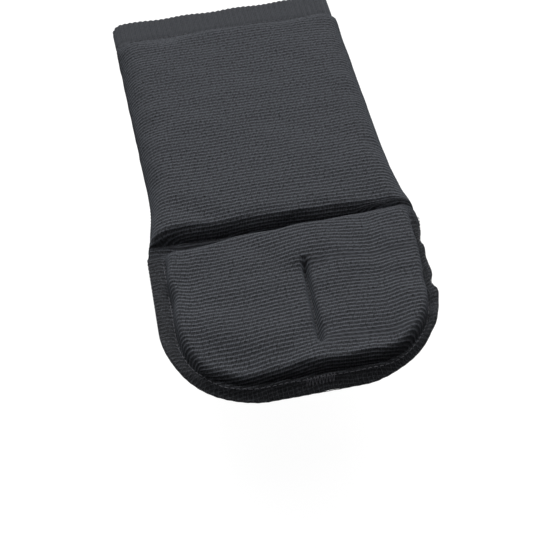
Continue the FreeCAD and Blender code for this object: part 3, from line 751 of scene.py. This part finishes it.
def make_strands(name, groups, radius, material, sides=6):
    """Round threads along groups of paths. The paths of a group have the same number of points."""
    angle = np.arange(sides) / sides * 2 * math.pi
    points, faces, first = [], [], 0
    for paths in groups:
        paths = np.asarray(paths, float)
        count, steps = paths.shape[:2]
        tangent = unit(np.gradient(paths, axis=1))
        u = np.where(np.abs(tangent[:, 0, 2:]) > 0.8, (1.0, 0.2, 0.0), (0.0, 0.0, 1.0))
        taper = radius * np.clip(np.sin(np.linspace(0.06, 0.94, steps) * math.pi) * 1.8, 0.3, 1)
        rings = []
        for k in range(steps):
            u = unit(u - (u * tangent[:, k]).sum(-1, keepdims=True) * tangent[:, k])
            w = np.cross(tangent[:, k], u)
            turn = np.cos(angle)[:, None] * u[:, None] + np.sin(angle)[:, None] * w[:, None]
            rings.append(paths[:, k, None] + taper[k] * turn)
        points.append(np.stack(rings, axis=1).reshape(-1, 3))
        for _ in range(count):
            faces += grid_faces(steps, sides, first, wrap=True).tolist()
            faces.append(list(range(first, first + sides))[::-1])
            first += steps * sides
            faces.append(list(range(first - sides, first)))
    return add_piece(name, np.concatenate(points), faces, material)


def surface_finder(piece):
    """A function that drops a plan line onto a piece, down from a height or up from below."""
    corners = [v.co / MM for v in piece.data.vertices]
    tree = BVHTree.FromPolygons(corners, [tuple(p.vertices) for p in piece.data.polygons])

    def drop(line, start=60.0, way=-1):
        """The line's points on the piece. A point that misses it keeps the height of the one before."""
        found, z = [], start
        for x, along in line:
            hit = tree.ray_cast(Vector((x, along + HINGE_Y, start)), Vector((0, 0, way)))[0]
            z = hit.z if hit else z
            found.append((x, along, z))
        return np.array(found)

    return drop


def lockstitches(line, pitch, lift=0.2, fill=0.76, up=1):
    """Stitches along a line on the surface: each rises out of the cloth and dips back in."""
    total = arc_length(line)[-1]
    count = int(total / pitch)
    q = np.linspace(0, 1, 7)
    at = (np.arange(count)[:, None] + (1 - fill) / 2 + q[None, :] * fill) * total / count
    points = along_line(line, at.ravel()).reshape(count, len(q), 3)
    points[..., 2] += up * lift * (1.9 * np.sin(q * math.pi) ** 0.6 - 0.9)
    return points


def rim_line(step):
    """Points along the cap's rim from its left end to its right end, and their outward directions."""
    past = mix(9, CAP_LENGTH, np.sin(np.linspace(0, math.pi / 2, 500)))
    left = stacked(-outline_half(-past, LEFT), -past)
    right = stacked(outline_half(-past, RIGHT), -past)
    line = resampled(np.concatenate([left, right[::-1]]), step)
    tangent = unit(np.gradient(line, axis=0))
    return line, stacked(tangent[:, 1], -tangent[:, 0])


def leaned(line):
    """A plan line on the cap, moved to where the cap leans."""
    line = np.asarray(line, float)
    return lean(np.concatenate([line, np.zeros((len(line), 1))], axis=1))[:, :2]


def dome_line(step):
    """The line sewn round the foot of the cap's padding, further out at the tip than at the sides."""
    bend = np.linspace(0, math.pi / 2, 60)
    out = mix(RIM_STITCH_OUT[0], RIM_STITCH_OUT[1], smooth(bend, 0.4, 1.2))
    x = DOME_HALF - DOME_CORNER + (DOME_CORNER + out) * np.cos(bend)
    past = DOME_FRONT - DOME_CORNER + (DOME_CORNER + out) * np.sin(bend)
    half = np.concatenate([[(x[0], -12)], stacked(x, -past)])
    line = resampled(np.concatenate([half * (-1, 1), half[::-1]]), step)
    line[:, 0] -= pulled_in(line[:, 0], -line[:, 1])
    return line


def overlock_loops(on_front, pitch):
    """Overlock thread round the rim's raw edge: loops over it, and a thread that runs along it."""
    line, outward = rim_line(pitch)
    plan = leaned(line)
    ahead = np.roll(plan, -1, axis=0) - plan
    ahead[-1] = ahead[-2]
    section = [
        (-2.3, 0.0), (-1.2, 0.12), (-0.1, 0.12), (0.5, -0.2), (0.84, -0.75),
        (0.55, -1.35), (-0.4, -1.7), (-1.5, -2.3), (-2.3, -2.5),
    ]
    paths = []
    for i, (out, rise) in enumerate(section):
        top = on_front(plan + outward * min(out, -0.1))[:, 2]
        place = plan + outward * out + ahead * i / len(section) / 2
        paths.append(np.column_stack([place, top + rise]))
    edge = on_front(plan - outward * 0.1)[:, 2]
    up_and_down = 0.15 * np.cos(np.arange(len(plan)) * math.pi)
    looper = np.column_stack([plan + outward * 0.86, edge - 0.75 + up_and_down])
    return np.stack(paths, axis=1), resampled(looper, 0.8)[None]


def seam_loops(strip, pitch):
    """Overlock thread round the free edge of a seam allowance."""
    low = strip[0, 0, 1]
    y = np.arange(low + 1, strip[-1, 0, 1] - 2, pitch)
    lines = [strip[:, j] for j in (0, 4, 8)]
    rows = [[np.interp(y, line[:, 1], line[:, k]) for k in (0, 1, 2)] for line in lines]
    free, middle, inner = np.array(rows).transpose(0, 2, 1)
    outwards = unit(free - middle)
    thick = np.array([0, 0, 0.68])
    slant = np.array([0, pitch / 2, 0])
    path = [
        inner + thick, middle + thick, free + thick * 0.5, free + outwards * 0.12,
        free - thick * 0.5 + slant / 2, middle - thick + slant * 0.8, inner - thick + slant,
    ]
    return np.stack(path, axis=1)


def box_stitch(corners):
    """A sewn box with a cross through it, as runs between its corners."""
    a, b, c, d = corners
    return [(a, b), (b, c), (c, d), (d, a), (a, c), (b, d)]


# ---------- materials


def set_inputs(tree, node, values):
    """Gives a shader node's inputs their values, or links them to sockets."""
    for key, value in values.items():
        if isinstance(value, bpy.types.NodeSocket):
            tree.links.new(value, node.inputs[key])
        else:
            node.inputs[key].default_value = value


def add_node(tree, kind, values, **settings):
    """A shader node with its settings and inputs."""
    node = tree.nodes.new(kind)
    for key, value in settings.items():
        setattr(node, key, value)
    set_inputs(tree, node, values)
    return node


def new_material(name, values):
    """A material with values for its main shader."""
    material = bpy.data.materials.new(name)
    material.use_nodes = True
    tree = material.node_tree
    shader = tree.nodes["Principled BSDF"]
    set_inputs(tree, shader, values)
    return material, tree, shader


def soft_surface(roughness, sheen, specular=0.25):
    """Values for the main shader of cloth or thread."""
    return {
        "Roughness": roughness,
        "Sheen Weight": sheen,
        "Sheen Roughness": 0.45,
        "Sheen Tint": (0.75, 0.82, 0.95, 1),
        "Specular IOR Level": specular,
    }


def colour_and_relief(tree, shader, share, colour, shades, height, depth, strength):
    """Colours the main shader between two shades of a colour, and gives it fine relief."""
    dark, bright = (tuple(shade * c for c in colour) + (1,) for shade in shades)
    tint = add_node(tree, "ShaderNodeMix", {0: share, 6: dark, 7: bright}, data_type="RGBA")
    bump = add_node(tree, "ShaderNodeBump", {"Height": height, "Distance": depth * MM, "Strength": strength})
    set_inputs(tree, shader, {"Base Color": tint.outputs[2], "Normal": bump.outputs[0]})


def fabric(name, colour, wale, course, tone=0.3, relief=0.12, rib=None, rib_shade_depth=0.0, sheen=0.15,
           roughness=0.85, heather=0.5, heather_length=1.6):
    """Knit or woven cloth, patterned on its own coordinates: wales across, courses along, and wider ribs.
    Ribbed cloth also gets painted shade in the rib valleys, painted light on the crests and painted shade on
    the rim.
    """
    material, tree, shader = new_material(name, soft_surface(roughness, sheen))

    def maths(operation, *values):
        """Output of a maths node."""
        return add_node(tree, "ShaderNodeMath", dict(enumerate(values)), operation=operation).outputs[0]

    def noise(vector, scale, detail):
        """Output of a noise node."""
        values = {"Vector": vector, "Scale": scale, "Detail": detail}
        return add_node(tree, "ShaderNodeTexNoise", values).outputs["Fac"]

    def humps(value):
        """Rounded humps, one for each whole number of the value."""
        return maths("ABSOLUTE", maths("SINE", maths("MULTIPLY", value, math.pi)))

    cloth = add_node(tree, "ShaderNodeAttribute", {}, attribute_name="cloth").outputs["Vector"]
    uneven = noise(cloth, 55.0, 3.0)
    fibres = noise(cloth, 2600.0, 2.0)
    split = add_node(tree, "ShaderNodeSeparateXYZ", {0: cloth})
    s = maths("MULTIPLY_ADD", uneven, wale * 0.9 * MM, split.outputs[0])
    t = maths("MULTIPLY_ADD", uneven, course * 0.5 * MM, split.outputs[1])
    column = maths("MULTIPLY", s, 1 / (wale * MM))
    slant = maths("PINGPONG", column, 0.5)
    row = maths("MULTIPLY_ADD", t, 1 / (course * MM), maths("MULTIPLY", slant, 0.9))
    stitch = maths("MULTIPLY", humps(row), humps(column))
    stretch = (1 / (heather_length * MM), 1 / (course * MM), 0)
    yarns = add_node(tree, "ShaderNodeVectorMath", {0: cloth, 1: stretch}, operation="MULTIPLY").outputs[0]
    flecks = noise(yarns, 1.0, 1.0)
    shade = maths("MULTIPLY_ADD", stitch, tone, 1 - tone * 0.45)
    factors = [
        maths("MULTIPLY_ADD", fibres, 0.5, 0.75),
        maths("MULTIPLY_ADD", uneven, 0.16, 0.92),
        maths("MULTIPLY_ADD", flecks, 2 * heather, 1 - heather),
    ]
    if rib:
        # Painted shade in each rib's valleys and painted light on its crests, on top of the ribs' real
        # relief.
        wave = maths("COSINE", maths("MULTIPLY", split.outputs[1], 2 * math.pi / (rib * MM)))
        flange = add_node(tree, "ShaderNodeAttribute", {}, attribute_name="flange").outputs["Fac"]
        # The painted rib shade and light are 1.3 times as strong on the cap, 0.75 times as strong on the
        # sleeve, and weaker on the rim.
        rib_shade_scale = {0: split.outputs[1], 1: -0.02, 2: 0.1, 3: 1.3, 4: 0.75}
        rib_shade_scale = add_node(tree, "ShaderNodeMapRange", rib_shade_scale).outputs[0]
        strength = maths("MULTIPLY", rib_shade_scale, maths("MULTIPLY_ADD", flange, -0.35 * rib_shade_depth, rib_shade_depth))
        # Painted shade on the rim round the cap's padding and on its turned-under edge: half as bright.
        factors.append(maths("MULTIPLY_ADD", flange, -0.5, 1))
        factors.append(maths("MULTIPLY_ADD", wave, maths("MULTIPLY", strength, -1), 1))
    for factor in factors:
        shade = maths("MULTIPLY", shade, factor)
    height = maths("MULTIPLY_ADD", fibres, 0.35, stitch)
    colour_and_relief(tree, shader, maths("MULTIPLY", shade, 0.5), colour, (0, 2), height, relief, 0.8)
    set_inputs(tree, shader, {"Roughness": maths("MULTIPLY_ADD", fibres, 0.2, roughness - 0.1)})
    return material


def spun_thread(name, colour):
    """Polyester sewing thread: a soft shine, with the fine slant of its plies."""
    material, tree, shader = new_material(name, soft_surface(0.5, 0.1, 0.4))
    place = add_node(tree, "ShaderNodeTexCoord", {}).outputs["Object"]
    values = {"Vector": place, "Scale": 900.0, "Distortion": 1.5}
    plies = add_node(tree, "ShaderNodeTexWave", values, bands_direction="DIAGONAL").outputs["Fac"]
    colour_and_relief(tree, shader, plies, colour, (0.6, 1.5), plies, 0.05, 0.6)
    return material


# The outer knit paints shade into its rib valleys, light onto their crests, and shade onto the cap's rim.
OUTER_KNIT = fabric(
    "outer_knit", (0.0400, 0.0425, 0.0490), 0.76, RIB / 2, 1.2, 0.16,
    rib=RIB, rib_shade_depth=0.5, sheen=0.1, heather=1.7, heather_length=1.0,
)
LINING_KNIT = fabric("lining_knit", (0.030, 0.031, 0.034), 0.8, 0.7, 0.4, 0.12)
STRETCH_KNIT = fabric("stretch_knit", (0.034, 0.036, 0.041), 1.0, 0.8, 0.45, 0.16)
RIB_KNIT = fabric("rib_cuff", (0.034, 0.036, 0.041), 0.9, 0.8, 0.45, 0.14)
ELASTIC = fabric(
    "elastic", (0.022, 0.023, 0.026), ELASTIC_CORD / 2, 0.9, 0.5, 0.12, sheen=0.05, roughness=0.6
)
THREAD = spun_thread("thread", (0.030, 0.031, 0.035))
RIM_THREAD = spun_thread("rim_thread", (0.105, 0.105, 0.118))

# ---------- pieces

# Where the cloth bends: its start and end between the two bodies of each joint.
CHANNEL_BEND = [Vector((0, HINGE_Y + along, 0)) * MM for along in (-1.5, -5.0)]
BACK_BEND = [Vector((0, 0, z)) * MM for z in (8.0, 3.5)]
STRAP_BEND = [Vector((0, 0, z)) * MM for z in (6.6, 2.6)]


def placed(piece, nodes, body=None, bend=None):
    """Hides the CAD nodes that a piece stands for, parents it to a body if one is given, and bakes its
    transform if a bend is given.
    """
    if nodes:
        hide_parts(*nodes)
    if body:
        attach(piece, body)
    if bend:
        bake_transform(piece)
    return piece


OVER_ELBOW = ("forearm_pad", "elbow_cap", CHANNEL_BEND)
ROUND_ARM = ("forearm_pad", "sleeve_back", BACK_BEND)
ROUND_STRAP = ("elbow_cap", "strap", STRAP_BEND)

front = make_front(OUTER_KNIT)
front_nodes = ["forearm_cover", "forearm_foam", "cap_cover", "cap_foam", "channel_seam"]
placed(front, front_nodes, bend=OVER_ELBOW)

lining = make_lining(LINING_KNIT)
placed(lining, ["forearm_lining", "cap_lining"], bend=OVER_ELBOW)

back = make_back(STRETCH_KNIT)
placed(back, ["sleeve_back"], bend=ROUND_ARM)

cuff = make_cuff(RIB_KNIT)
placed(cuff, ["cuff_front", "cuff_back"], bend=ROUND_ARM)

for name, body in (("cuff_elastic_front", "forearm_pad"), ("cuff_elastic_back", "sleeve_back")):
    low, high = node_box(name)
    middle = (low[2] + high[2]) / 2
    line = stacked(np.linspace(low[0], high[0], 90), middle)
    start, end = low[1] - HINGE_Y, high[1] - HINGE_Y
    elastic = make_band(name + "_woven", line, start, end, high[2] - low[2], ELASTIC)
    placed(elastic, [name], body=body)

low, high = node_box("cap_strap")
strap = make_band("strap_elastic", strap_line(), low[1] - HINGE_Y, high[1] - HINGE_Y, 1.3, ELASTIC)
STRAP_SHIFT = CAP_LEAN * (HINGE_Y - (low[1] + high[1]) / 2)
strap.data.transform(Matrix.Translation((-STRAP_SHIFT * MM, 0, 0)))
placed(strap, ["cap_strap", "strap_tab_left", "strap_tab_right"], bend=ROUND_STRAP)

for name, side in (("left", LEFT), ("right", RIGHT)):
    seam, strip = make_side_seam("seam_allowance_" + name, side, LINING_KNIT)
    placed(seam, ["side_seam_" + name], body="forearm_pad")
    loops = seam_loops(strip, OVERLOCK_STITCH)
    overlock = make_strands("seam_overlock_" + name, [loops], THREAD_RADIUS, THREAD)
    placed(overlock, [], body="forearm_pad")

# ---------- rows of stitches

on_front = surface_finder(front)
on_back = surface_finder(back)
on_cuff = surface_finder(cuff)


def sewn(name, groups, nodes, body=None, bend=None, radius=THREAD_RADIUS, material=THREAD):
    """Threads that stand for the CAD's rows of stitches."""
    return placed(make_strands(name, groups, radius, material), nodes, body, bend)


def row_across(x, place):
    """A plan line straight across the pad, at a place along the CAD frame."""
    return stacked(x, place - HINGE_Y)


x = np.arange(-ROW_HALF, ROW_HALF + 0.01, LINE_STEP)
channel = stacked(x, sum(channel_edges(x)) / 2)
sewn("channel_stitches", [lockstitches(on_front(channel), STITCH)], ["channel_stitching"], bend=OVER_ELBOW)

foot = lockstitches(on_front(leaned(dome_line(LINE_STEP))), STITCH, lift=0.26)
sewn("rim_stitches", [foot], ["rim_stitching"], body="elbow_cap", material=RIM_THREAD)

loops, looper = overlock_loops(on_front, OVERLOCK_STITCH)
sewn("rim_overlock_thread", [loops, looper], ["rim_overlock"], body="elbow_cap", radius=0.14)

past = np.arange(QUILT_START + 0.5, QUILT_END - 0.5, LINE_STEP)
quilting = on_front(leaned(stacked(quilt_line(past), -past)))
sewn("quilt_stitches", [lockstitches(quilting, STITCH)], ["centre_quilting"], body="elbow_cap")

tack_low, tack_high = node_box("tip_bartack")
zigs = []
for i, tack_x in enumerate(np.arange(tack_low[0], tack_high[0], TACK_STEP)):
    ends = [tack_high[1], tack_low[1]] if i % 2 else [tack_low[1], tack_high[1]]
    along = np.linspace(*ends, 9) - HINGE_Y - TACK_DROP
    line = stacked(np.linspace(tack_x, tack_x + TACK_STEP, 9), along)
    zigs.append(on_front(leaned(line)) + (0, 0, TACK_THREAD))
sewn("tip_bartack_stitches", [zigs], ["tip_bartack"], "elbow_cap", radius=TACK_THREAD, material=RIM_THREAD)

low, high = node_box("hem_stitching")
hem = row_across(x, (low[1] + high[1]) / 2)
upper = lockstitches(on_back(hem, start=6), STITCH)
lower = lockstitches(on_back(hem, start=-20, way=1), STITCH, up=-1)
sewn("hem_stitches", [upper, lower], ["hem_stitching"], body="sleeve_back")

low, high = node_box("cuff_stitching_front")
front_cuff_rows, back_cuff_rows = [], []
for place in (low[1] + 0.4, high[1] - 0.4):
    row = row_across(x, place)
    front_cuff_rows.append(lockstitches(on_cuff(row), STITCH))
    back_cuff_rows.append(lockstitches(on_cuff(row, start=5), STITCH))
    back_cuff_rows.append(lockstitches(on_cuff(row, start=-20, way=1), STITCH, up=-1))
sewn("cuff_stitches_front", front_cuff_rows, ["cuff_stitching_front"], body="forearm_pad")
sewn("cuff_stitches_back", back_cuff_rows, ["cuff_stitching_back"], body="sleeve_back")

on_strap = surface_finder(strap)
low, high = node_box("strap_stitching")
runs = []
for side in (LEFT, RIGHT):
    inner, outer = side * 51.2 - STRAP_SHIFT, side * high[0] - STRAP_SHIFT
    near, far = high[1] - 0.6 - HINGE_Y, low[1] + 0.6 - HINGE_Y
    for run in box_stitch([(inner, near), (outer, near), (outer, far), (inner, far)]):
        run = on_strap(resampled(run, LINE_STEP), start=0, way=1)
        runs.append(lockstitches(run, STITCH, up=-1))
sewn("strap_stitches", runs, ["strap_stitching"], body="elbow_cap")

# ---------- floor, light and camera


def add_floor():
    """A floor that looks white, below the pad in every pose."""
    mesh = bpy.data.meshes.new("floor")
    corners = [(x * FLOOR_HALF, y * FLOOR_HALF, 0) for x, y in ((-1, -1), (1, -1), (1, 1), (-1, 1))]
    mesh.from_pydata(corners, [], [(0, 1, 2, 3)])
    values = {
        "Base Color": (0.12, 0.12, 0.12, 1),
        "Roughness": 1,
        "Specular IOR Level": 0,
        "Emission Color": (1, 1, 1, 1),
        "Emission Strength": WHITE,
    }
    mesh.materials.append(new_material("floor", values)[0])
    floor = bpy.data.objects.new("floor", mesh)
    bpy.context.scene.collection.objects.link(floor)
    floor.location.z = FLOOR_Z
    floor.visible_diffuse = False
    floor.visible_glossy = False


def turned(name, data, place, back):
    """A light or camera at a place, facing away from the direction back."""
    obj = bpy.data.objects.new(name, data)
    obj.location = place
    obj.rotation_mode = "QUATERNION"
    obj.rotation_quaternion = back.to_track_quat("Z", "Y")
    bpy.context.scene.collection.objects.link(obj)
    return obj


def add_light(name, place, size, power):
    """A square lamp that shines at the middle of the pad."""
    lamp = bpy.data.lights.new(name, "AREA")
    lamp.shape = "RECTANGLE"
    lamp.size = lamp.size_y = size
    lamp.energy = power
    turned(name, lamp, place, Vector(place)).visible_camera = False


def add_camera(azimuth, elevation, distance, target, lens):
    """The photo's camera, which looks down over the tip of the cap."""
    a, e = math.radians(azimuth), math.radians(elevation)
    back = Vector((math.sin(a) * math.cos(e), -math.cos(a) * math.cos(e), math.sin(e)))
    data = bpy.data.cameras.new("camera")
    data.lens = lens
    data.sensor_width = 36
    data.clip_start = 0.01
    bpy.context.scene.camera = turned("camera", data, Vector(target) + back * distance, back)


def add_world():
    """White surroundings for the camera that don't light the pad."""
    world = bpy.data.worlds.new("studio")
    world.use_nodes = True
    tree = world.node_tree
    set_inputs(tree, tree.nodes["Background"], {"Color": (1, 1, 1, 1), "Strength": WHITE})
    bpy.context.scene.world = world
    for ray in ("diffuse", "glossy", "transmission", "scatter"):
        setattr(world.cycles_visibility, ray, False)


add_floor()
bpy.context.scene.view_settings.view_transform = "Standard"
add_world()
add_light("key", (0.1, 1.5, 1.9), 2.0, 66)
add_light("overhead", (0, -0.05, 1.2), 0.8, 8)
add_light("left", (-0.7, 0.5, 0.12), 0.4, 0.9)
add_light("right", (0.7, 0.5, 0.12), 0.4, 0.9)
add_light("front", (0, -0.9, 0.6), 0.8, 0.15)
add_camera(azimuth=-12.4, elevation=51.8, distance=0.6606, target=(-0.0081, -0.0510, 0), lens=93.9)
